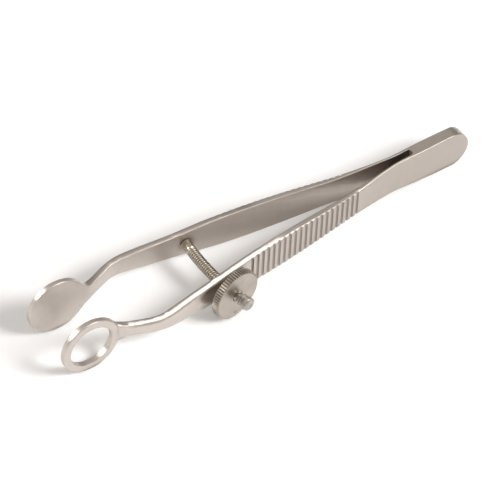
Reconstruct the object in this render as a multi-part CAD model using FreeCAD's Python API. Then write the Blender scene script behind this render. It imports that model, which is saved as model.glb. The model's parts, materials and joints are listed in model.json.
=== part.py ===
"""Chalazion clamp: sprung tweezers with a solid plate and an open ring as jaws,
closed by a knurled thumb nut on a curved screw. All sizes are in millimetres.

It lies on its side, as it rests on a table. In the design frame the closed end of the
slot between the arms is at x = 0, the jaws are at -X and the tail at +X. The plate arm
is on +Y, the ring arm on -Y, and Z runs across the width of the arms.
"""
import FreeCAD, Part
import math
import os

V = FreeCAD.Vector
Y_AXIS = V(0, 1, 0)
Z_AXIS = V(0, 0, 1)

# Jaws
jaw_reach = 76.0          # from the end of the slot to the centre of the jaws
jaw_radius = 6.0
jaw_thickness = 1.2
jaw_half_gap = 5.15       # from the middle plane to a jaw's inner face
jaw_toe = 0.9             # degrees that each jaw opens towards its tip
window_radius = 4.5       # hole through the ring
jaw_edge = 0.15           # bevel of the jaws' rims

# Arms seen from above
slot_half_width = 0.7
slot_straight = 4.0       # stretch where the two leaves run parallel
leaf_bend = 25.0          # radius where the leaves start to diverge
arm_angle = 6.8           # degrees that each arm leans out of the middle plane
shoulder_to_jaw = 13.5    # where an arm turns back in, before the centre of its jaw
shoulder_bend = 8.0
neck_to_jaw = 6.7         # where the neck meets the plane of the jaw, before its centre
neck_bend = 3.0
shoulder_reach = jaw_reach - shoulder_to_jaw
neck_reach = jaw_reach - neck_to_jaw

# Thickness of an arm
tail_thickness = 1.15
slot_thickness = 0.58     # beside the end of the slot
leaf_thickness = 0.55     # thinnest part of the spring
grip_thickness = 1.35
front_thickness = 1.6
neck_thickness = 1.45

# Width of an arm, each half
tail_length = 12.9
tail_half_width = 4.1
tail_stock = 2.0          # extra length that the rounded end is cut from
waist_half_width = 2.95
grip_half_width = 3.55
neck_root = 3.4           # radius where the neck runs into the jaw's rim

# Rounding of the arms' outer edges, made of flats that touch the round
tail_edge = 0.15
front_edge = 0.65
edge_flats = (30.0, 60.0)  # degrees that the flats lean
edge_growth = (0.1, 0.8)  # shares of the way to the shoulder between which the rounding grows
edge_steps = 44

# Ribs across the outer face of each grip
rib_count = 21
rib_start = 14.6          # from the end of the slot to the groove nearest to the tail
rib_to_screw = 6.8        # from the last groove to the screw
rib_depth = 0.34
rib_groove_radius = 0.34

# Screw, nut and end stop
screw_to_jaw = 28.1       # before the centre of the jaws
screw_reach = jaw_reach - screw_to_jaw    # also the radius of the screw's arc
screw_radius = 1.1
tenon_radius = 0.8        # reduced end held in the plate arm
shoulder_gap = 0.01       # between the screw's shoulder and the plate arm
stem_radius = 0.75        # reduced end that carries the stop
rivet_height = 0.12
arm_hole_clearance = 0.3  # round the screw where it passes through the ring arm
nut_clearance = 0.05      # in the nut's bore, each side
nut_radius = 5.2
nut_thickness = 1.5
nut_gap = 1.0             # from the ring arm to the nut's rim, as the nut hangs loose
nut_edge = 0.25
knurl_count = 60
knurl_depth = 0.2
stop_gap = 0.9            # free screw between nut and stop
stop_radius = 1.35
stop_length = 2.2
stop_edge = 0.15
collar_length = 0.65      # collar of the stop, towards the nut
waist_radius = 1.15       # between the collar and the cap of the stop
waist_length = 0.25
cap_radius = 1.3

neck_half_width = {"plate": 1.6, "ring": 1.35}


def inner_offset(distance):
    """Distance of an arm's inner face from the middle plane, before its bends are rounded."""
    if distance <= slot_straight:
        return slot_half_width
    slope = math.tan(math.radians(arm_angle))
    if distance <= shoulder_reach:
        return slot_half_width + slope * (distance - slot_straight)
    shoulder = slot_half_width + slope * (shoulder_reach - slot_straight)
    neck = jaw_face(neck_reach)
    if distance <= neck_reach:
        share = (distance - shoulder_reach) / (neck_reach - shoulder_reach)
        return shoulder + share * (neck - shoulder)
    return jaw_face(distance)


def jaw_face(distance):
    """Inner face of a jaw: it leans out a little towards the tip."""
    return jaw_half_gap + math.tan(math.radians(jaw_toe)) * (distance - jaw_reach)


def rounded_path(points, radii):
    """Edges along the points, with an arc of each given radius at the inner points."""
    edges = []
    start = points[0]
    for before, corner, after, radius in zip(points, points[1:], points[2:], radii):
        back = (before - corner).normalize()
        onward = (after - corner).normalize()
        half_angle = back.getAngle(onward) / 2
        middle = (back + onward).normalize()
        reach = radius / math.tan(half_angle)
        first = corner + back * reach
        last = corner + onward * reach
        crown = corner + middle * (radius / math.sin(half_angle) - radius)
        edges.append(Part.makeLine(start, first))
        edges.append(Part.Arc(first, crown, last).toShape())
        start = last
    edges.append(Part.makeLine(start, points[-1]))
    return edges


def between(first, last, share):
    return first + (last - first) * share


def smooth_curve(points):
    curve = Part.BSplineCurve()
    curve.interpolate(points)
    return curve


def outer_curve():
    """Outer face of an arm seen from above, from the tail to the root of the jaw."""
    grip = shoulder_reach
    thickness = [
        (slot_straight, leaf_thickness),
        (0.136 * grip, leaf_thickness),
        (0.192 * grip, 0.55 * grip_thickness),
        (0.256 * grip, 0.75 * grip_thickness),
        (0.352 * grip, 0.9 * grip_thickness),
        (0.48 * grip, grip_thickness),
        (0.64 * grip, 1.04 * grip_thickness),
        (0.8 * grip, 0.94 * front_thickness),
        (0.92 * grip, front_thickness),
        (0.984 * grip, 0.94 * front_thickness),
        (between(shoulder_reach, neck_reach, 0.44), front_thickness),
        (between(shoulder_reach, neck_reach, 0.88), neck_thickness),
    ]
    points = [
        V(tail_length + tail_stock, tail_thickness, 0),
        V(tail_length / 2, 1.09 * tail_thickness, 0),
        V(0, slot_half_width + slot_thickness, 0),
    ]
    points += [V(-at, inner_offset(at) + thick, 0) for at, thick in thickness]
    inside_jaw = jaw_face(jaw_root()) + 0.8 * jaw_thickness
    points.append(V(-jaw_root(), inside_jaw, 0))
    return smooth_curve(points)


def plan_body():
    """The arm as seen from above, extruded over more than its width."""
    slot = slot_half_width
    quarter = slot * math.sqrt(0.5)
    end = jaw_root()
    inner = rounded_path(
        [
            V(-slot, slot, 0),
            V(-slot_straight, slot, 0),
            V(-shoulder_reach, inner_offset(shoulder_reach), 0),
            V(-neck_reach, jaw_face(neck_reach), 0),
            V(-end, jaw_face(end), 0),
        ],
        [leaf_bend, shoulder_bend, neck_bend],
    )
    outer = outer_curve()
    tail = V(tail_length + tail_stock, 0, 0)
    edges = [Part.makeLine(tail, V(0, 0, 0))]
    edges.append(Part.Arc(V(0, 0, 0), V(quarter - slot, quarter, 0), V(-slot, slot, 0)).toShape())
    edges += inner
    edges.append(Part.makeLine(V(-end, jaw_face(end), 0), outer.EndPoint))
    edges.append(outer.toShape())
    edges.append(Part.makeLine(outer.StartPoint, tail))
    return prism(edges, Z_AXIS, 2 * jaw_radius)


def prism(edges, axis, depth):
    """Closed outline extruded to both sides along an axis."""
    face = Part.Face(Part.Wire(Part.__sortEdges__(edges)))
    face.translate(axis * -depth)
    return face.extrude(axis * 2 * depth)


def side_curve(neck):
    """Half width of the arm along its length, from the tail to the end of the neck."""
    grip = shoulder_reach
    half_widths = [
        (-tail_length - tail_stock, tail_half_width),
        (-tail_length / 2, 0.988 * tail_half_width),
        (0.032 * grip, 0.915 * tail_half_width),
        (0.136 * grip, 1.15 * waist_half_width),
        (0.256 * grip, waist_half_width),
        (0.352 * grip, 1.07 * waist_half_width),
        (0.48 * grip, 0.986 * grip_half_width),
        (0.592 * grip, grip_half_width),
        (0.696 * grip, 0.915 * grip_half_width),
        (0.8 * grip, 0.732 * grip_half_width),
        (0.896 * grip, between(neck, grip_half_width, 0.34)),
        (0.976 * grip, between(neck, grip_half_width, 0.1)),
        (between(shoulder_reach, neck_end(neck), 0.46), neck),
        (neck_end(neck), neck),
    ]
    return smooth_curve([V(-at, 0, half) for at, half in half_widths])


def neck_end(neck):
    """Distance at which the neck starts to flare into the jaw's rim."""
    above = jaw_radius + neck_root
    return jaw_reach - math.sqrt(above ** 2 - (neck + neck_root) ** 2)


def flare(neck):
    """Arc from the neck to the jaw's rim, tangent to both."""
    centre = V(-neck_end(neck), 0, neck + neck_root)
    on_neck = centre - Z_AXIS * neck_root
    to_jaw = V(-jaw_reach, 0, 0) - centre
    on_rim = centre + to_jaw.normalize() * neck_root
    crown = centre + ((on_neck + on_rim) / 2 - centre).normalize() * neck_root
    return Part.Arc(on_neck, crown, on_rim)


def side_body(neck):
    """The arm as seen from the side: leaf-shaped grip and thin neck that flares at its root."""
    line = side_curve(neck)
    root = flare(neck)
    on_rim = root.EndPoint
    end = V(-jaw_root(), 0, on_rim.z)
    upper = [line.toShape(), root.toShape(), Part.makeLine(on_rim, end)]
    lower = [edge.mirror(V(0, 0, 0), Z_AXIS) for edge in upper]
    tail = line.StartPoint
    caps = [Part.makeLine(tail, V(tail.x, 0, -tail.z)), Part.makeLine(end, V(end.x, 0, -end.z))]
    return prism(upper + lower + caps, Y_AXIS, 3 * jaw_half_gap)


def height_on(curve, distance, across, guess):
    """Height of a curve, measured along `across`, at a distance from the end of the slot."""
    height = guess
    for _ in range(6):
        point = V(-distance, 0, 0) + across * height
        height = curve.value(curve.parameter(point)).dot(across)
    return height


def half_width(neck, distance):
    """Half width of the arm, with the flare at the neck's root."""
    past = distance - neck_end(neck)
    if past <= 0:
        return height_on(side_curve(neck), distance, Z_AXIS, neck)
    rim = -flare(neck).EndPoint.x - neck_end(neck)
    rise = neck_root - math.sqrt(neck_root ** 2 - min(past, rim) ** 2)
    return neck + rise + 3 * max(past - rim, 0)


def jaw_root():
    """Distance to the end of the neck, inside the solid rim of the jaw."""
    return jaw_reach - window_radius - 2 * jaw_edge


def jaw_plate():
    """Round jaw on +Y, before any window is cut."""
    plate = Part.makeCylinder(jaw_radius, jaw_thickness)
    return place_jaw(plate.makeChamfer(jaw_edge, rims(plate, jaw_radius)))


def place_jaw(shape):
    """Turn a shape, made along +Z, to the jaw's face and put it at the jaw's centre."""
    toe = math.radians(jaw_toe)
    turn = FreeCAD.Rotation(Z_AXIS, V(math.sin(toe), math.cos(toe), 0))
    shape.Placement = FreeCAD.Placement(V(-jaw_reach, jaw_half_gap, 0), turn)
    return shape


def rims(shape, radius):
    """The full circles of one radius on a turned shape."""
    turned = 2 * math.pi * radius
    return [edge for edge in shape.Edges if abs(edge.Length - turned) < 0.001 and edge.isClosed()]


def edge_radius(distance):
    """Rounding of the outer edges: small on the spring, large at the front, small at the jaw."""
    start, full = [share * shoulder_reach for share in edge_growth]
    grown = between(tail_edge, front_edge, min(max((distance - start) / (full - start), 0.0), 1.0))
    left = max(jaw_root() - distance, 0.0) / neck_root
    return min(grown, jaw_edge + left * 0.3)


def edge_flat(neck, lean):
    """Body whose leaning top is one flat of the rounding of the upper outer edge."""
    tan, cos = math.tan(math.radians(lean)), math.cos(math.radians(lean))
    first = -tail_length - tail_stock
    step = (jaw_root() - first) / edge_steps
    points = []
    for index in range(edge_steps + 1):
        distance = first + index * step
        radius = edge_radius(distance)
        beside = half_width(neck, distance) - radius
        height = arm_outside(distance) - radius + beside * tan + radius / cos
        points.append(V(-distance, height, 0))
    top = smooth_curve(points)
    below = -4 * jaw_half_gap
    low_start = V(points[0].x, below, 0)
    low_end = V(points[-1].x, below, 0)
    sides = [
        Part.makeLine(low_start, points[0]),
        top.toShape(),
        Part.makeLine(points[-1], low_end),
        Part.makeLine(low_end, low_start),
    ]
    return prism(sides, V(0, -tan, 1), jaw_radius)


def soften_outer_edges(arm, neck):
    """Round the long edges of the outer face with flats that touch the round."""
    for lean in edge_flats:
        upper = edge_flat(neck, lean)
        arm = arm.common(upper).common(upper.mirror(V(0, 0, 0), Z_AXIS))
    return arm


def round_tail(arm):
    """Cut the tail to its full-round end."""
    centre = V(tail_length - tail_half_width, 0, 0)
    depth = 4 * tail_thickness
    start = centre - Y_AXIS * depth / 2
    end = Part.makeCylinder(tail_half_width, depth, start, Y_AXIS)
    length = jaw_reach + 2 * jaw_radius + centre.x
    corner = V(centre.x - length, -3 * jaw_half_gap, -2 * jaw_radius)
    rest = Part.makeBox(length, 6 * jaw_half_gap, 4 * jaw_radius, corner)
    return arm.common(rest.fuse(end))


def rib_grooves():
    """Round-bottomed grooves across the outer face of the grip."""
    curve = outer_curve()
    height = tail_half_width + jaw_radius
    rib_pitch = (screw_reach - rib_to_screw - rib_start) / (rib_count - 1)
    grooves = []
    for index in range(rib_count):
        at = rib_start + index * rib_pitch
        guess = V(-at, inner_offset(at) + grip_thickness, 0)
        surface = curve.value(curve.parameter(guess))
        normal = V(-math.sin(math.radians(arm_angle)), math.cos(math.radians(arm_angle)), 0)
        centre = surface + normal * (rib_groove_radius - rib_depth)
        start = V(centre.x, centre.y, -height)
        grooves.append(Part.makeCylinder(rib_groove_radius, 2 * height, start, Z_AXIS))
    return grooves


def blank_arm(neck):
    """One arm on +Y with its ribs, before its jaw and holes are made."""
    arm = plan_body().common(side_body(neck))
    arm = round_tail(soften_outer_edges(arm, neck))
    return arm.cut(rib_grooves()).fuse(jaw_plate()).removeSplitter()


def screw_rod(radius, low, high):
    """A length of the screw's arc, between two heights measured along Y."""
    first = math.degrees(math.asin(low / screw_reach))
    last = math.degrees(math.asin(high / screw_reach))
    circle = Part.Circle(V(-screw_reach, 0, 0), Y_AXIS, radius)
    rod = Part.Face(Part.Wire(circle.toShape())).revolve(V(0, 0, 0), Z_AXIS, last - first)
    rod.rotate(V(0, 0, 0), Z_AXIS, -last)
    return rod


def arm_outside(distance):
    """Offset of the arm's outer face from the middle plane."""
    guess = inner_offset(distance) + grip_thickness
    return height_on(outer_curve(), distance, Y_AXIS, guess)


def screw_foot():
    """Height along Y at which the screw's arc meets the plate arm's inner face."""
    foot = inner_offset(screw_reach)
    for _ in range(4):
        foot = inner_offset(math.sqrt(screw_reach ** 2 - foot ** 2))
    return foot


def nut_place():
    """Centre of the nut's inner face and its axis, which is the screw's tangent there."""
    lean = math.radians(arm_angle)
    offset = arm_outside(screw_reach)
    for _ in range(4):
        turn = math.asin(offset / screw_reach)
        extra = nut_radius * math.sin(max(turn - lean, 0.0))
        offset = arm_outside(screw_reach) + extra + nut_gap
    turn = math.asin(offset / screw_reach)
    centre = V(-screw_reach * math.cos(turn), -offset, 0)
    axis = V(math.sin(turn), -math.cos(turn), 0)
    return centre, axis


def plate_arm():
    arm = blank_arm(neck_half_width["plate"])
    foot = screw_foot()
    hole = screw_rod(tenon_radius, foot - grip_thickness, foot + 2 * grip_thickness)
    return arm.cut(hole)


def ring_arm():
    arm = blank_arm(neck_half_width["ring"])
    window = Part.makeCylinder(window_radius, 3 * jaw_thickness, V(0, 0, -jaw_thickness))
    arm = arm.cut(place_jaw(window))
    arm = arm.mirror(V(0, 0, 0), Y_AXIS)
    middle = -screw_foot()
    margin = 3 * grip_thickness
    hole = screw_rod(screw_radius + arm_hole_clearance, middle - margin, middle + margin)
    return arm.cut(hole)


def on_nut_axis(shape, distance):
    """Stand a shape, made along +Z, on the nut's axis at a distance from the nut's inner face."""
    centre, axis = nut_place()
    turn = FreeCAD.Rotation(Z_AXIS, axis)
    shape.Placement = FreeCAD.Placement(centre + axis * distance, turn)
    return shape


def screw():
    """Curved rod: riveted end, threaded length (left plain here), and a stem for the stop."""
    foot = screw_foot() - shoulder_gap
    outside = arm_outside(screw_reach)
    centre, axis = nut_place()
    thread_end = centre.y + axis.y * nut_thickness
    stem_end = thread_end + axis.y * (stop_gap + stop_length)
    body = screw_rod(screw_radius, thread_end, foot)
    tenon = screw_rod(tenon_radius, foot - tenon_radius / 4, outside + rivet_height)
    stem = screw_rod(stem_radius, stem_end, thread_end + stem_radius / 4)
    return body.fuse([tenon, stem]).removeSplitter()


def knurled_outline(radius):
    """Closed saw-tooth outline round the nut."""
    points = []
    for index in range(2 * knurl_count):
        angle = math.pi * index / knurl_count
        reach = radius if index % 2 == 0 else radius - knurl_depth
        points.append(V(reach * math.cos(angle), reach * math.sin(angle), 0))
    return Part.Face(Part.makePolygon(points + points[:1]))


def thumb_nut():
    disc = knurled_outline(nut_radius).extrude(Z_AXIS * nut_thickness)
    lens = bevelled_disc(nut_radius, nut_thickness, nut_edge)
    bore = Part.makeCylinder(screw_radius + nut_clearance, nut_thickness)
    return on_nut_axis(disc.common(lens).cut(bore), 0)


def bevelled_disc(radius, thickness, edge):
    disc = Part.makeCylinder(radius, thickness)
    return disc.makeChamfer(edge, rims(disc, radius))


def end_stop():
    """Turned cap with a collar towards the nut, closed over the screw's stem."""
    cap_start = collar_length + waist_length
    outline = [
        (0, 0),
        (stop_radius - stop_edge, 0),
        (stop_radius, stop_edge),
        (stop_radius, collar_length - stop_edge),
        (waist_radius, collar_length),
        (waist_radius, cap_start),
        (cap_radius, cap_start + stop_edge),
        (cap_radius, stop_length - stop_edge),
        (cap_radius - stop_edge, stop_length),
        (0, stop_length),
        (0, 0),
    ]
    half = Part.Face(Part.makePolygon([V(reach, 0, height) for reach, height in outline]))
    cap = half.revolve(V(0, 0, 0), Z_AXIS, 360)
    cap = on_nut_axis(cap, nut_thickness + stop_gap)
    centre, axis = nut_place()
    start = centre.y + axis.y * (nut_thickness + stop_gap)
    stem = screw_rod(stem_radius, start + axis.y * 2 * stop_length, start + stop_length)
    return cap.cut(stem)


def settle(shapes):
    """Lay the pieces down on the jaws' rims and the tail, with the origin below the middle."""
    drop = jaw_radius - tail_half_width
    lean = math.asin(drop / (jaw_reach + tail_length - tail_half_width))
    for shape in shapes.values():
        shape.rotate(V(0, 0, 0), Y_AXIS, math.degrees(lean))
    box = Part.makeCompound(list(shapes.values())).optimalBoundingBox(False, False)
    shift = V(-box.Center.x, -box.Center.y, -box.ZMin)
    for shape in shapes.values():
        shape.translate(shift)
    return shift


def main():
    os.makedirs("parts", exist_ok=True)
    shapes = {
        "plate_arm": plate_arm(),
        "ring_arm": ring_arm(),
        "screw": screw(),
        "thumb_nut": thumb_nut(),
        "end_stop": end_stop(),
    }
    settle(shapes)
    for name, shape in shapes.items():
        shape.exportStep("parts/" + name + ".step")


main()
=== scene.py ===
"""Chalazion clamp in satin steel, with a cut thread, a ring arm with edges across its leaf and a peened
end stop.
"""

import json
import math

import bmesh
import bpy
from mathutils import Matrix, Vector, noise

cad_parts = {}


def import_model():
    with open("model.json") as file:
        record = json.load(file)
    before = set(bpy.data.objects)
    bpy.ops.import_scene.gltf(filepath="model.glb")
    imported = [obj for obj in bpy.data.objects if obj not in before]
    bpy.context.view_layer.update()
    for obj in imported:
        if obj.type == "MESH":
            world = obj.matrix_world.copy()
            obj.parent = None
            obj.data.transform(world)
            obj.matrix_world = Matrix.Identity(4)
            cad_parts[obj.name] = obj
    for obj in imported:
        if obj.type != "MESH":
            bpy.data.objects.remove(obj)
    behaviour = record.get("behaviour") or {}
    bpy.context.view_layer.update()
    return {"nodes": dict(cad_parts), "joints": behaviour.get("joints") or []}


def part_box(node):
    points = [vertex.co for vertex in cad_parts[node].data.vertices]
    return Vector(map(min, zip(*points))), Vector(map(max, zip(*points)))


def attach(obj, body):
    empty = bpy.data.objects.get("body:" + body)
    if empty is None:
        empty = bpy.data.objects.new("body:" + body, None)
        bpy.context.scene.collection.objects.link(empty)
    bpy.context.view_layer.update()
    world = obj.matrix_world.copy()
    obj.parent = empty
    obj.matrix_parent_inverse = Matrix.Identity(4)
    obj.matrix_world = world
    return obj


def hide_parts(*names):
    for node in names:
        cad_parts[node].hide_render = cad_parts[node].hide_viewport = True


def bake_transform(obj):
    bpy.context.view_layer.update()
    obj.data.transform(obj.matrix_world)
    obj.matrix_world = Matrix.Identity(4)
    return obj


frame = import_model()
MM = 0.001

# Axes of the clamp as it was drawn: the pivot is the closed end of the slot between the arms,
# along points to the tail, and closing is the ring arm's way to the plate arm
hinges = {joint["name"]: joint for joint in frame["joints"]}
pivot = Vector(hinges["arm_flex"]["pos_m"])
across = -Vector(hinges["arm_flex"]["axis"]).normalized()
closing = Vector((0, 1, 0))
along = closing.cross(across).normalized()
nut_middle = Vector(hinges["nut_turn"]["pos_m"])
nut_out = -Vector(hinges["nut_turn"]["axis"]).normalized()


def at(x, y, z):
    """Point in the part's frame, from millimetres along the clamp's own axes."""
    return pivot + along * (x * MM) + closing * (y * MM) + across * (z * MM)


def height_of(place):
    """Height of a point on the way to the plate arm, in millimetres from the middle plane."""
    return (place - pivot).dot(closing) / MM


# Arms, in millimetres from the pivot: the leaf that flexes, with the number and spacing of the
# edges across it, and the front's rounded section, which grows from its start until it is full,
# and fades from its last full place to its end
LEAF = 14
LEAF_CUTS = 24
LEAF_STEP = 0.6
FRONT_START = 34
FRONT_FULL = 46
FRONT_LAST = 65
FRONT_END = 68

# Nut, screw and end stop, in millimetres; the screw's arc meets the nut's axis at the inner face
HALF_NUT = 0.75
ARC = math.sqrt((nut_middle - pivot).length_squared / MM ** 2 - HALF_NUT ** 2)
PITCH = 0.5
THREAD_RADIUS = 1.085
THREAD_DEPTH = 0.27
RINGS_A_TURN = 9
RIVET_HEIGHT = 0.12
STEM_RADIUS = 0.74
FREE_STEM = 0.9

# Heights on the screw: the plate arm's inner face, both ends of the thread, the riveted end's
# top and the stem's end inside the stop
ARM_FACE = 5.88
THREAD_TOP = 3.9
THREAD_END = height_of(nut_middle + nut_out * (HALF_NUT * MM))
RIVET_TOP = height_of(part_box("screw")[1])
STEM_END = height_of(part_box("screw")[0]) + 0.6


# Materials

def node(tree, kind, **values):
    """New node with its settings."""
    item = tree.nodes.new(kind)
    for key, value in values.items():
        setattr(item, key, value)
    return item


def scaled_noise(tree, place, scale, detail, rough=0.5):
    """Noise at a place, with a scale of features in a metre."""
    item = node(tree, "ShaderNodeTexNoise")
    item.inputs["Scale"].default_value = scale
    item.inputs["Detail"].default_value = detail
    item.inputs["Roughness"].default_value = rough
    tree.links.new(place, item.inputs["Vector"])
    return item.outputs["Fac"]


def ranged(tree, value, span, result):
    """Value carried over from one span to another, and held at both ends."""
    item = node(tree, "ShaderNodeMapRange")
    item.inputs["From Min"].default_value = span[0]
    item.inputs["From Max"].default_value = span[1]
    item.inputs["To Min"].default_value = result[0]
    item.inputs["To Max"].default_value = result[1]
    tree.links.new(value, item.inputs["Value"])
    return item.outputs["Result"]


def mixed(tree, share, first, second):
    """First colour with a share of the second in it."""
    item = node(tree, "ShaderNodeMix", data_type="RGBA")
    tree.links.new(share, item.inputs["Factor"])
    tree.links.new(first, item.inputs["A"])
    item.inputs["B"].default_value = (*second, 1)
    return item.outputs["Result"]


def vector_step(tree, kind, first, second=None, out="Vector"):
    """Result of one vector operation on a linked value and, where it needs one, a fixed one."""
    item = node(tree, "ShaderNodeVectorMath", operation=kind)
    tree.links.new(first, item.inputs[0])
    if second is not None:
        item.inputs[1].default_value = second
    return item.outputs[out]


# Darker colours: the steel's own pits, and painted shade in crevices, towards the tail and in a small
# dent
PIT = (0.22, 0.19, 0.16)
CREVICE_SHADE = (0.20, 0.175, 0.155)
TAIL_SHADE = (0.33, 0.285, 0.25)
DENT_SHADE = (0.2, 0.17, 0.14)

# Nut's outer face, in millimetres: the place of a small dent's painted shade along the clamp and across
# it, the radii between which that painted shade fades, and the distance between the rings left by
# turning
DENT_SHADE_PLACE = (-0.5, -4.0)
DENT_SHADE_FADE = (0.22, 0.5)
TURNING_PITCH = 0.16


def mottled(tree, place, shades):
    """Colour that wanders between two shades."""
    colour = node(tree, "ShaderNodeValToRGB")
    low, high = colour.color_ramp.elements
    low.position = 0.32
    low.color = (*shades[0], 1)
    high.position = 0.68
    high.color = (*shades[1], 1)
    mottle = scaled_noise(tree, place, scale=420.0, detail=5.0, rough=0.6)
    tree.links.new(mottle, colour.inputs["Fac"])
    return colour.outputs["Color"]


def dent_shaded(tree, place, tint):
    """Tint with the painted shade of a small dent on the nut's outer face."""
    spot = along * (DENT_SHADE_PLACE[0] * MM) + across * (DENT_SHADE_PLACE[1] * MM)
    middle = nut_middle + nut_out * (HALF_NUT * MM) + spot
    reach = vector_step(tree, "DISTANCE", place, middle, "Value")
    share = ranged(tree, reach, (DENT_SHADE_FADE[0] * MM, DENT_SHADE_FADE[1] * MM), (0.55, 0.0))
    return mixed(tree, share, tint, DENT_SHADE)


def crevice_shaded(tree, tint, reach, darkest, clear):
    """Tint with painted shade in crevices and narrow gaps, where ambient occlusion finds them.

    Their sides are felt within a reach in millimetres, and the darkness goes from one share of
    openness, where it is full, to another, where it is gone.
    """
    crevice = node(tree, "ShaderNodeAmbientOcclusion", samples=8)
    crevice.inputs["Distance"].default_value = reach * MM
    share = ranged(tree, crevice.outputs["AO"], (darkest, clear), (0.85, 0.0))
    return mixed(tree, share, tint, CREVICE_SHADE)


def turned(tree, place, normal):
    """Normal with the fine rings that turning left round the nut's axis."""
    from_middle = vector_step(tree, "SUBTRACT", place, nut_middle)
    spoke = vector_step(tree, "CROSS_PRODUCT", from_middle, nut_out)
    grooves = node(tree, "ShaderNodeMath", operation="MULTIPLY")
    grooves.inputs[1].default_value = 2 * math.pi / (TURNING_PITCH * MM)
    tree.links.new(vector_step(tree, "LENGTH", spoke, out="Value"), grooves.inputs[0])
    wave = node(tree, "ShaderNodeMath", operation="SINE")
    tree.links.new(grooves.outputs["Value"], wave.inputs[0])
    marks = node(tree, "ShaderNodeBump")
    marks.inputs["Strength"].default_value = 0.22
    marks.inputs["Distance"].default_value = 0.01 * MM
    tree.links.new(wave.outputs["Value"], marks.inputs["Height"])
    tree.links.new(normal, marks.inputs["Normal"])
    return marks.outputs["Normal"]


def blasted(tree, place, ahead, edge, grain):
    """Normal with the dimples of blasting and with soft edges, of a radius in millimetres.

    The tail's edges are sharper.
    """
    rim = node(tree, "ShaderNodeBevel", samples=4)
    radius = ranged(tree, ahead, (-2 * MM, 0.0), (edge * MM, 0.02 * MM))
    tree.links.new(radius, rim.inputs["Radius"])
    bump = node(tree, "ShaderNodeBump")
    bump.inputs["Strength"].default_value = grain
    bump.inputs["Distance"].default_value = 0.02 * MM
    tree.links.new(scaled_noise(tree, place, scale=7500.0, detail=2.0), bump.inputs["Height"])
    tree.links.new(rim.outputs["Normal"], bump.inputs["Normal"])
    return bump.outputs["Normal"]


def satin_steel(name, shades, rough, edge, crevice_shade, spots, grain=0.25, stain=None, of_nut=False):
    """Bead-blasted steel: mottled colour, painted shade towards the tail and in crevices, uneven gloss,
    dimples, pits.
    """
    material = bpy.data.materials.new(name)
    material.use_nodes = True
    tree = material.node_tree
    shader = tree.nodes["Principled BSDF"]
    shader.inputs["Metallic"].default_value = 1.0
    place = node(tree, "ShaderNodeTexCoord").outputs["Object"]
    from_pivot = vector_step(tree, "SUBTRACT", place, pivot)
    ahead = vector_step(tree, "DOT_PRODUCT", from_pivot, along, "Value")

    tint = mottled(tree, place, shades)
    if stain:
        dirt = scaled_noise(tree, place, scale=1400.0, detail=2.0)
        tint = mixed(tree, ranged(tree, dirt, (0.42, 0.66), (0.0, 0.7)), tint, stain)
    # Painted shade: the steel darker towards the tail
    tint = mixed(tree, ranged(tree, ahead, (-52 * MM, -8 * MM), (0.0, 0.42)), tint, TAIL_SHADE)
    pits = scaled_noise(tree, place, scale=2100.0, detail=1.0)
    tint = mixed(tree, ranged(tree, pits, (0.70, 0.78), (0.0, spots)), tint, PIT)
    if of_nut:
        # Painted shade of a small dent on the nut's outer face
        tint = dent_shaded(tree, place, tint)
    # Painted shade in crevices and narrow gaps
    tint = crevice_shaded(tree, tint, *crevice_shade)
    tree.links.new(tint, shader.inputs["Base Color"])

    gloss = scaled_noise(tree, place, scale=1500.0, detail=4.0)
    roughness = ranged(tree, gloss, (0.0, 1.0), (rough - 0.06, rough + 0.07))
    tree.links.new(roughness, shader.inputs["Roughness"])

    normal = blasted(tree, place, ahead, edge, grain)
    if of_nut:
        normal = turned(tree, place, normal)
    tree.links.new(normal, shader.inputs["Normal"])
    return material


arm_steel = satin_steel(
    "arm_steel",
    shades=((0.665, 0.605, 0.56), (0.695, 0.638, 0.592)),
    rough=0.32,
    edge=0.28,
    crevice_shade=(1.3, 0.5, 0.98),
    spots=0.2,
)
nut_steel = satin_steel(
    "nut_steel",
    shades=((0.49, 0.44, 0.39), (0.58, 0.525, 0.47)),
    rough=0.36,
    edge=0.02,
    crevice_shade=(0.45, 0.45, 0.97),
    spots=0.3,
    of_nut=True,
)
screw_steel = satin_steel(
    "screw_steel",
    shades=((0.56, 0.505, 0.42), (0.69, 0.63, 0.54)),
    rough=0.27,
    edge=0.01,
    crevice_shade=(0.6, 0.45, 0.95),
    spots=0.2,
    grain=0.1,
)
stop_steel = satin_steel(
    "stop_steel",
    shades=((0.48, 0.45, 0.41), (0.57, 0.54, 0.50)),
    rough=0.42,
    edge=0.03,
    crevice_shade=(0.4, 0.5, 0.9),
    spots=0.4,
    stain=(0.35, 0.31, 0.26),
)


def finish(piece, material):
    """Give a piece its steel and the slot that it takes its finish from."""
    piece.data.materials.clear()
    piece.data.materials.append(material)


# Mesh helpers

# Points nearer than this are one, in metres
WELD = 0.000001


def new_piece(name, mesh):
    piece = bpy.data.objects.new(name, mesh)
    bpy.context.scene.collection.objects.link(piece)
    return piece


def smooth_by_angle(mesh, limit, tail_limit=None):
    """Smooth faces, with sharp edges where they turn by more than a limit in degrees.

    The leaf and the tail behind it can have a limit of their own.
    """
    work = bmesh.new()
    work.from_mesh(mesh)
    bmesh.ops.remove_doubles(work, verts=work.verts, dist=WELD)
    bmesh.ops.recalc_face_normals(work, faces=work.faces)
    for edge in work.edges:
        middle = (edge.verts[0].co + edge.verts[1].co) / 2
        tail = tail_limit is not None and (middle - pivot).dot(along) > -LEAF * MM
        turn = math.radians(tail_limit if tail else limit)
        edge.smooth = len(edge.link_faces) == 2 and edge.calc_face_angle(math.pi) < turn
    for face in work.faces:
        face.smooth = True
    work.to_mesh(mesh)
    work.free()


def front_share(place):
    """Share of the front's rounded section that a point has, from 0 to 1."""
    reach = -(place - pivot).dot(along) / MM
    grown = (reach - FRONT_START) / (FRONT_FULL - FRONT_START)
    left = (FRONT_END - reach) / (FRONT_END - FRONT_LAST)
    return min(max(grown, 0), 1) * min(max(left, 0), 1)


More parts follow.
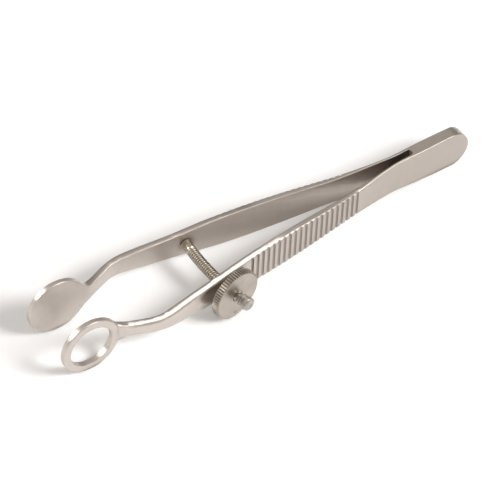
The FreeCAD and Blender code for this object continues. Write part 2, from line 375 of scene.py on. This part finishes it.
def leaned(normal, outwards, angle):
    """Normal leaned outwards by an angle, and by less the more it points outwards already."""
    side = normal.dot(across)
    out = normal.dot(outwards)
    lean = math.atan2(out, abs(side))
    lean += angle * (1 - lean / (math.pi / 2))
    flat = math.hypot(side, out)
    rest = normal - across * side - outwards * out
    sideways = across * math.copysign(flat * math.cos(lean), side)
    return (rest + sideways + outwards * (flat * math.sin(lean))).normalized()


def dome(mesh, outwards, outer, inner):
    """Lean the shading of the front's upper and lower sides.

    Their outer and inner edges lean by two angles in degrees; the inner edges belong to the
    faces that look at the other arm.
    """
    looks_inwards = -0.8
    least_sideways = 0.05
    least_outwards = -0.3
    normals = [corner.vector.copy() for corner in mesh.corner_normals]
    inside = set()
    for face in mesh.polygons:
        if face.normal.dot(outwards) < looks_inwards:
            inside.update(face.vertices)
    for index, loop in enumerate(mesh.loops):
        share = front_share(mesh.vertices[loop.vertex_index].co)
        if share == 0 or abs(normals[index].dot(across)) < least_sideways:
            continue
        if normals[index].dot(outwards) < least_outwards:
            continue
        degrees = inner if loop.vertex_index in inside else outer
        normals[index] = leaned(normals[index], outwards, math.radians(degrees) * share)
    mesh.normals_split_custom_set(normals)


def rings_to_mesh(name, rings, closed_ends=True):
    """Tube through rings of points, each with the same number."""
    mesh = bpy.data.meshes.new(name)
    count = len(rings[0])
    points = [point for ring in rings for point in ring]
    faces = []
    for index in range(len(rings) - 1):
        low = index * count
        high = low + count
        for step in range(count):
            after = (step + 1) % count
            faces.append((low + step, low + after, high + after, high + step))
    if closed_ends:
        faces.append(tuple(range(count))[::-1])
        faces.append(tuple(range((len(rings) - 1) * count, len(rings) * count)))
    mesh.from_pydata(points, [], faces)
    return mesh


# Ring arm: its leaf has edges across it

def flexing_arm():
    mesh = frame["nodes"]["ring_arm"].data.copy()
    work = bmesh.new()
    work.from_mesh(mesh)
    bmesh.ops.remove_doubles(work, verts=work.verts, dist=WELD)
    for step in range(LEAF_CUTS):
        cut = at(-LEAF_STEP * step, 0, 0)
        every = work.verts[:] + work.edges[:] + work.faces[:]
        bmesh.ops.bisect_plane(work, geom=every, plane_co=cut, plane_no=along, dist=WELD / 2)
    work.to_mesh(mesh)
    work.free()
    smooth_by_angle(mesh, 35, tail_limit=22)
    dome(mesh, -closing, outer=18, inner=-12)
    arm = new_piece("ring_arm_flexing", mesh)
    finish(arm, arm_steel)
    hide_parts("ring_arm")
    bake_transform(arm)


# Plate arm: its flats are kept crisp

def crisp_plate_arm():
    mesh = frame["nodes"]["plate_arm"].data.copy()
    smooth_by_angle(mesh, 35, tail_limit=22)
    dome(mesh, closing, outer=-8, inner=-8)
    arm = new_piece("plate_arm_crisp", mesh)
    finish(arm, arm_steel)
    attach(arm, "plate_arm")
    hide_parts("plate_arm")


# Screw: a helical thread along the arc

def thread_form(phase):
    """Share of the thread's depth at a phase of one pitch: flat crest, leaning flanks, narrow root."""
    crest_end, root_start, root_end = 0.2, 0.5, 0.62
    phase -= math.floor(phase)
    if phase < crest_end:
        return 0.0
    if phase < root_start:
        return (phase - crest_end) / (root_start - crest_end)
    if phase < root_end:
        return 1.0
    return 1.0 - (phase - root_end) / (1.0 - root_end)


def thread_radius(height, run, angle):
    """Radius of the thread, at a share of its full depth and with small nicks."""
    depth = thread_form(height / PITCH + angle / (2 * math.pi))
    nick = noise.noise(Vector((height * 2.3, math.cos(angle) * 2, math.sin(angle) * 2)))
    return THREAD_RADIUS - THREAD_DEPTH * run * depth - 0.012 * max(nick, 0.0)


def rod_ring(height, radius_at, count=40):
    """Ring round the screw's arc at a height, with a radius for each angle."""
    turn = math.asin(height / ARC)
    centre = at(-ARC * math.cos(turn), height, 0)
    outwards = along * -math.cos(turn) + closing * math.sin(turn)
    ring = []
    for step in range(count):
        angle = 2 * math.pi * step / count
        radius = radius_at(angle) * MM
        ring.append(centre + outwards * (radius * math.cos(angle)) + across * (radius * math.sin(angle)))
    return ring


def threaded_screw():
    """Riveted end, collar at the arm, plain shank, thread that runs out, and the stop's stem.

    The head and the stem are lists of radius and height.
    """
    arm_outside = RIVET_TOP - RIVET_HEIGHT
    head = [
        (0.62, arm_outside + 0.09), (0.74, arm_outside + 0.03), (0.79, arm_outside - 0.12),
        (0.79, ARM_FACE), (1.10, ARM_FACE - 0.02), (1.14, ARM_FACE - 0.06),
        (1.14, ARM_FACE - 0.20), (1.06, ARM_FACE - 0.28), (1.06, THREAD_TOP + 0.3),
    ]
    stem = [
        (0.98, THREAD_END), (0.80, THREAD_END - 0.06),
        (STEM_RADIUS, THREAD_END - 0.12), (STEM_RADIUS, STEM_END),
    ]
    rings = [rod_ring(height, lambda angle: radius) for radius, height in head]
    height = THREAD_TOP
    while height > THREAD_END:
        run_in = (THREAD_TOP - height) / 0.8
        run_out = 0.2 + (height - THREAD_END) / 0.3
        run = min(run_in, 1.0, run_out)
        rings.append(rod_ring(height, lambda angle: thread_radius(height, run, angle)))
        height -= PITCH / RINGS_A_TURN
    rings += [rod_ring(height, lambda angle: radius) for radius, height in stem]
    mesh = rings_to_mesh("screw_threaded", rings)
    smooth_by_angle(mesh, 40)
    screw = new_piece("screw_threaded", mesh)
    finish(screw, screw_steel)
    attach(screw, "plate_arm")
    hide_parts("screw")


# Nut: a disc with a straight knurl that runs through to both faces

def knurled_nut():
    """Each ridge has a flat crest, a steep flank, a flat root and a leaning flank.

    They are given by shares of the ridge's width with the depth of the cut there. The rim's
    layers are given by their inset and their lift from the inner face.
    """
    ridges = 60
    across_ridge = [(0.0, 0.0), (0.06, 0.03), (0.14, 0.3), (0.42, 0.3), (0.68, 0.05), (0.76, 0.0)]
    rim_layers = [(0.09, 0.0), (0.02, 0.04), (0.0, 0.09), (0.0, 1.41), (0.02, 1.46), (0.09, 1.5)]
    radius = 5.19
    inside_knurl = radius - 0.55
    bore = 1.16
    first = across
    second = nut_out.cross(first).normalized()
    base = nut_middle - nut_out * (HALF_NUT * MM)
    rings = []

    def ring(lift, reach_at):
        points = []
        for ridge in range(ridges):
            for share, cut in across_ridge:
                angle = 2 * math.pi * (ridge + share) / ridges
                spoke = first * math.cos(angle) + second * math.sin(angle)
                points.append(base + spoke * (reach_at(cut) * MM) + nut_out * (lift * MM))
        rings.append(points)

    ring(0.0, lambda cut: bore)
    ring(0.0, lambda cut: inside_knurl)
    for inset, lift in rim_layers:
        ring(lift, lambda cut: radius - inset - cut)
    ring(2 * HALF_NUT, lambda cut: inside_knurl)
    ring(2 * HALF_NUT, lambda cut: bore)
    mesh = rings_to_mesh("thumb_nut_knurled", rings + rings[:1], closed_ends=False)
    smooth_by_angle(mesh, 20)
    nut = new_piece("thumb_nut_knurled", mesh)
    finish(nut, nut_steel)
    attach(nut, "thumb_nut")
    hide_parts("thumb_nut")


# End stop: worn threads behind a button that is peened over the screw's tip

# Radius and lift from the stop's inner face, in millimetres; the button starts past BUTTON
BUTTON = 1.1
STOP_PROFILE = [
    (0.30, 0.0), (1.02, 0.0), (1.22, 0.07), (1.30, 0.18), (1.20, 0.30), (1.10, 0.38),
    (1.22, 0.48), (1.31, 0.60), (1.22, 0.74), (1.06, 0.84), (1.02, 1.06), (1.16, 1.12),
    (1.28, 1.20), (1.30, 1.5), (1.30, 2.06), (1.24, 2.15), (1.14, 2.2), (0.7, 2.2),
    (0.3, 2.2), (0.06, 2.2),
]


def peened_stop():
    """The threads are worn and dented all round, and the button only a little."""
    count = 48
    first = across
    second = nut_out.cross(first).normalized()
    base = nut_middle + nut_out * ((HALF_NUT + FREE_STEM) * MM)
    rings = []
    for radius, lift in STOP_PROFILE:
        worn = 1.0 if lift < BUTTON else 0.3
        ring = []
        for step in range(count):
            angle = 2 * math.pi * step / count
            place = Vector((math.cos(angle), math.sin(angle), lift * 1.6))
            rough = noise.noise(place * 1.5 + Vector((3.1, 0.4, 7.7)))
            dent = noise.noise(place * 4.1 + Vector((9.0, 2.0, 1.0)))
            reach = radius * (1 - worn * (0.10 * max(rough, 0) + 0.09 * max(dent, 0)))
            rise = lift + 0.06 * dent * (0.1 < lift < BUTTON)
            ring.append(
                base
                + first * (reach * MM * math.cos(angle))
                + second * (reach * MM * math.sin(angle))
                + nut_out * (rise * MM)
            )
        rings.append(ring)
    mesh = rings_to_mesh("end_stop_peened", rings)
    smooth_by_angle(mesh, 40)
    stop = new_piece("end_stop_peened", mesh)
    finish(stop, stop_steel)
    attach(stop, "plate_arm")
    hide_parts("end_stop")


flexing_arm()
crisp_plate_arm()
threaded_screw()
knurled_nut()
peened_stop()


# Camera

PICTURE_WIDTH = 500
SENSOR_WIDTH = 36.0


def place_camera(azimuth, elevation, roll, focal, distance, right_shift, up_shift, target):
    """Camera that looks at a target in the clamp's own axes.

    Angles are in degrees, lengths in millimetres, and the focal length in pixels.
    """
    heading = math.radians(azimuth)
    tilt = math.radians(elevation)
    lean = math.radians(roll)
    flat = math.cos(tilt)
    back = Vector((math.sin(heading) * flat, -math.cos(heading) * flat, math.sin(tilt)))
    level = Vector((math.cos(heading), math.sin(heading), 0))
    raised = back.cross(level)
    right = level * math.cos(lean) + raised * math.sin(lean)
    up = raised * math.cos(lean) - level * math.sin(lean)
    local = Vector(target) + back * distance - right * right_shift - up * up_shift
    axes = Matrix((along, closing, across)).transposed()
    camera = bpy.data.cameras.new("camera")
    camera.sensor_fit = "HORIZONTAL"
    camera.sensor_width = SENSOR_WIDTH
    camera.lens = SENSOR_WIDTH * focal / PICTURE_WIDTH
    camera.clip_start = 0.01
    camera.clip_end = 20
    holder = bpy.data.objects.new("camera", camera)
    bpy.context.scene.collection.objects.link(holder)
    turn = Matrix((axes @ right, axes @ up, axes @ back)).transposed()
    holder.matrix_world = Matrix.Translation(pivot + axes @ (local * MM)) @ turn.to_4x4()
    bpy.context.scene.camera = holder


place_camera(
    azimuth=-36.3,
    elevation=47.0,
    roll=2.9,
    focal=3102.0,
    distance=579.6,
    right_shift=1.47,
    up_shift=2.0,
    target=(-35.37, 0, 0),
)


# Floor, world and lights

# Half the floor's side and its depth under the clamp, in metres
FLOOR_REACH = 3.0
FLOOR_GAP = 0.00002
PAPER = (0.89, 0.89, 0.893)
WHITE = (1, 1, 1)
# Colour of the floor in reflections
WARM = (1, 0.95, 0.92)
SURROUNDINGS = (1.0, 0.955, 0.905)
# Way to the darker side of the surroundings
BEHIND = (0.35, 0.93, -0.10)


def glowing(tree, shader, ray, strength, colour):
    """Shader that glows as well, for one kind of ray."""
    glow = node(tree, "ShaderNodeEmission")
    glow.inputs["Color"].default_value = (*colour, 1)
    tree.links.new(ranged(tree, ray, (0.0, 1.0), (0.0, strength)), glow.inputs["Strength"])
    both = node(tree, "ShaderNodeAddShader")
    tree.links.new(shader, both.inputs[0])
    tree.links.new(glow.outputs["Emission"], both.inputs[1])
    return both.outputs["Shader"]


def floor(seen, mirrored):
    """Pale paper; direct and mirrored looks find it brighter than it is lit, and its shadows stay."""
    mesh = bpy.data.meshes.new("floor")
    corners = [(-1, -1), (1, -1), (1, 1), (-1, 1)]
    points = [(x * FLOOR_REACH, y * FLOOR_REACH, 0) for x, y in corners]
    mesh.from_pydata(points, [], [(0, 1, 2, 3)])
    piece = new_piece("floor", mesh)
    piece.location.z = -FLOOR_GAP
    material = bpy.data.materials.new("floor_paper")
    material.use_nodes = True
    tree = material.node_tree
    shader = tree.nodes["Principled BSDF"]
    shader.inputs["Base Color"].default_value = (*PAPER, 1)
    shader.inputs["Roughness"].default_value = 0.9
    shader.inputs["Specular IOR Level"].default_value = 0.1
    rays = node(tree, "ShaderNodeLightPath")
    total = glowing(tree, shader.outputs["BSDF"], rays.outputs["Is Camera Ray"], seen, WHITE)
    total = glowing(tree, total, rays.outputs["Is Glossy Ray"], mirrored, WARM)
    tree.links.new(total, tree.nodes["Material Output"].inputs["Surface"])
    mesh.materials.append(material)


def world(light, behind, seen):
    """Pale surroundings that darken low behind the clamp; the camera sees them white."""
    sky = bpy.data.worlds.new("studio")
    bpy.context.scene.world = sky
    sky.use_nodes = True
    tree = sky.node_tree
    tree.nodes.clear()
    rays = node(tree, "ShaderNodeLightPath")
    heading = node(tree, "ShaderNodeTexCoord").outputs["Generated"]
    back = vector_step(tree, "DOT_PRODUCT", heading, BEHIND, "Value")
    lit = node(tree, "ShaderNodeBackground")
    lit.inputs["Color"].default_value = (*SURROUNDINGS, 1)
    tree.links.new(ranged(tree, back, (0.35, 0.95), (light, behind)), lit.inputs["Strength"])
    shown = node(tree, "ShaderNodeBackground")
    shown.inputs["Color"].default_value = (*WHITE, 1)
    shown.inputs["Strength"].default_value = seen
    mix = node(tree, "ShaderNodeMixShader")
    out = node(tree, "ShaderNodeOutputWorld")
    tree.links.new(rays.outputs["Is Camera Ray"], mix.inputs["Fac"])
    tree.links.new(lit.outputs["Background"], mix.inputs[1])
    tree.links.new(shown.outputs["Background"], mix.inputs[2])
    tree.links.new(mix.outputs["Shader"], out.inputs["Surface"])


def softbox(name, place, size, radiance, colour, lights_floor, mirrored):
    """Rectangular lamp aimed at the clamp, for the floor's light and shadows or for reflections."""
    lamp = bpy.data.lights.new(name, "AREA")
    lamp.shape = "RECTANGLE"
    lamp.size, lamp.size_y = size
    lamp.energy = radiance * math.pi * size[0] * size[1]
    lamp.color = colour
    holder = bpy.data.objects.new(name, lamp)
    bpy.context.scene.collection.objects.link(holder)
    holder.location = place
    holder.rotation_euler = (-Vector(place)).to_track_quat("-Z", "Y").to_euler()
    holder.visible_diffuse = lights_floor
    holder.visible_glossy = mirrored


floor(seen=0.13, mirrored=0.03)
world(light=0.58, behind=0.17, seen=1.0)
softbox(
    "overhead", place=(0.26, -0.08, 0.54), size=(0.46, 0.38), radiance=3.8,
    colour=(1, 0.985, 0.955), lights_floor=False, mirrored=True,
)
softbox(
    "left_back", place=(-0.30, 0.28, 0.27), size=(0.20, 0.18), radiance=7.4,
    colour=(1, 0.955, 0.89), lights_floor=False, mirrored=True,
)
softbox(
    "right", place=(0.45, -0.68, 0.72), size=(0.40, 0.40), radiance=22.0,
    colour=(1, 0.995, 0.99), lights_floor=True, mirrored=False,
)

bpy.context.scene.view_settings.view_transform = "Standard"
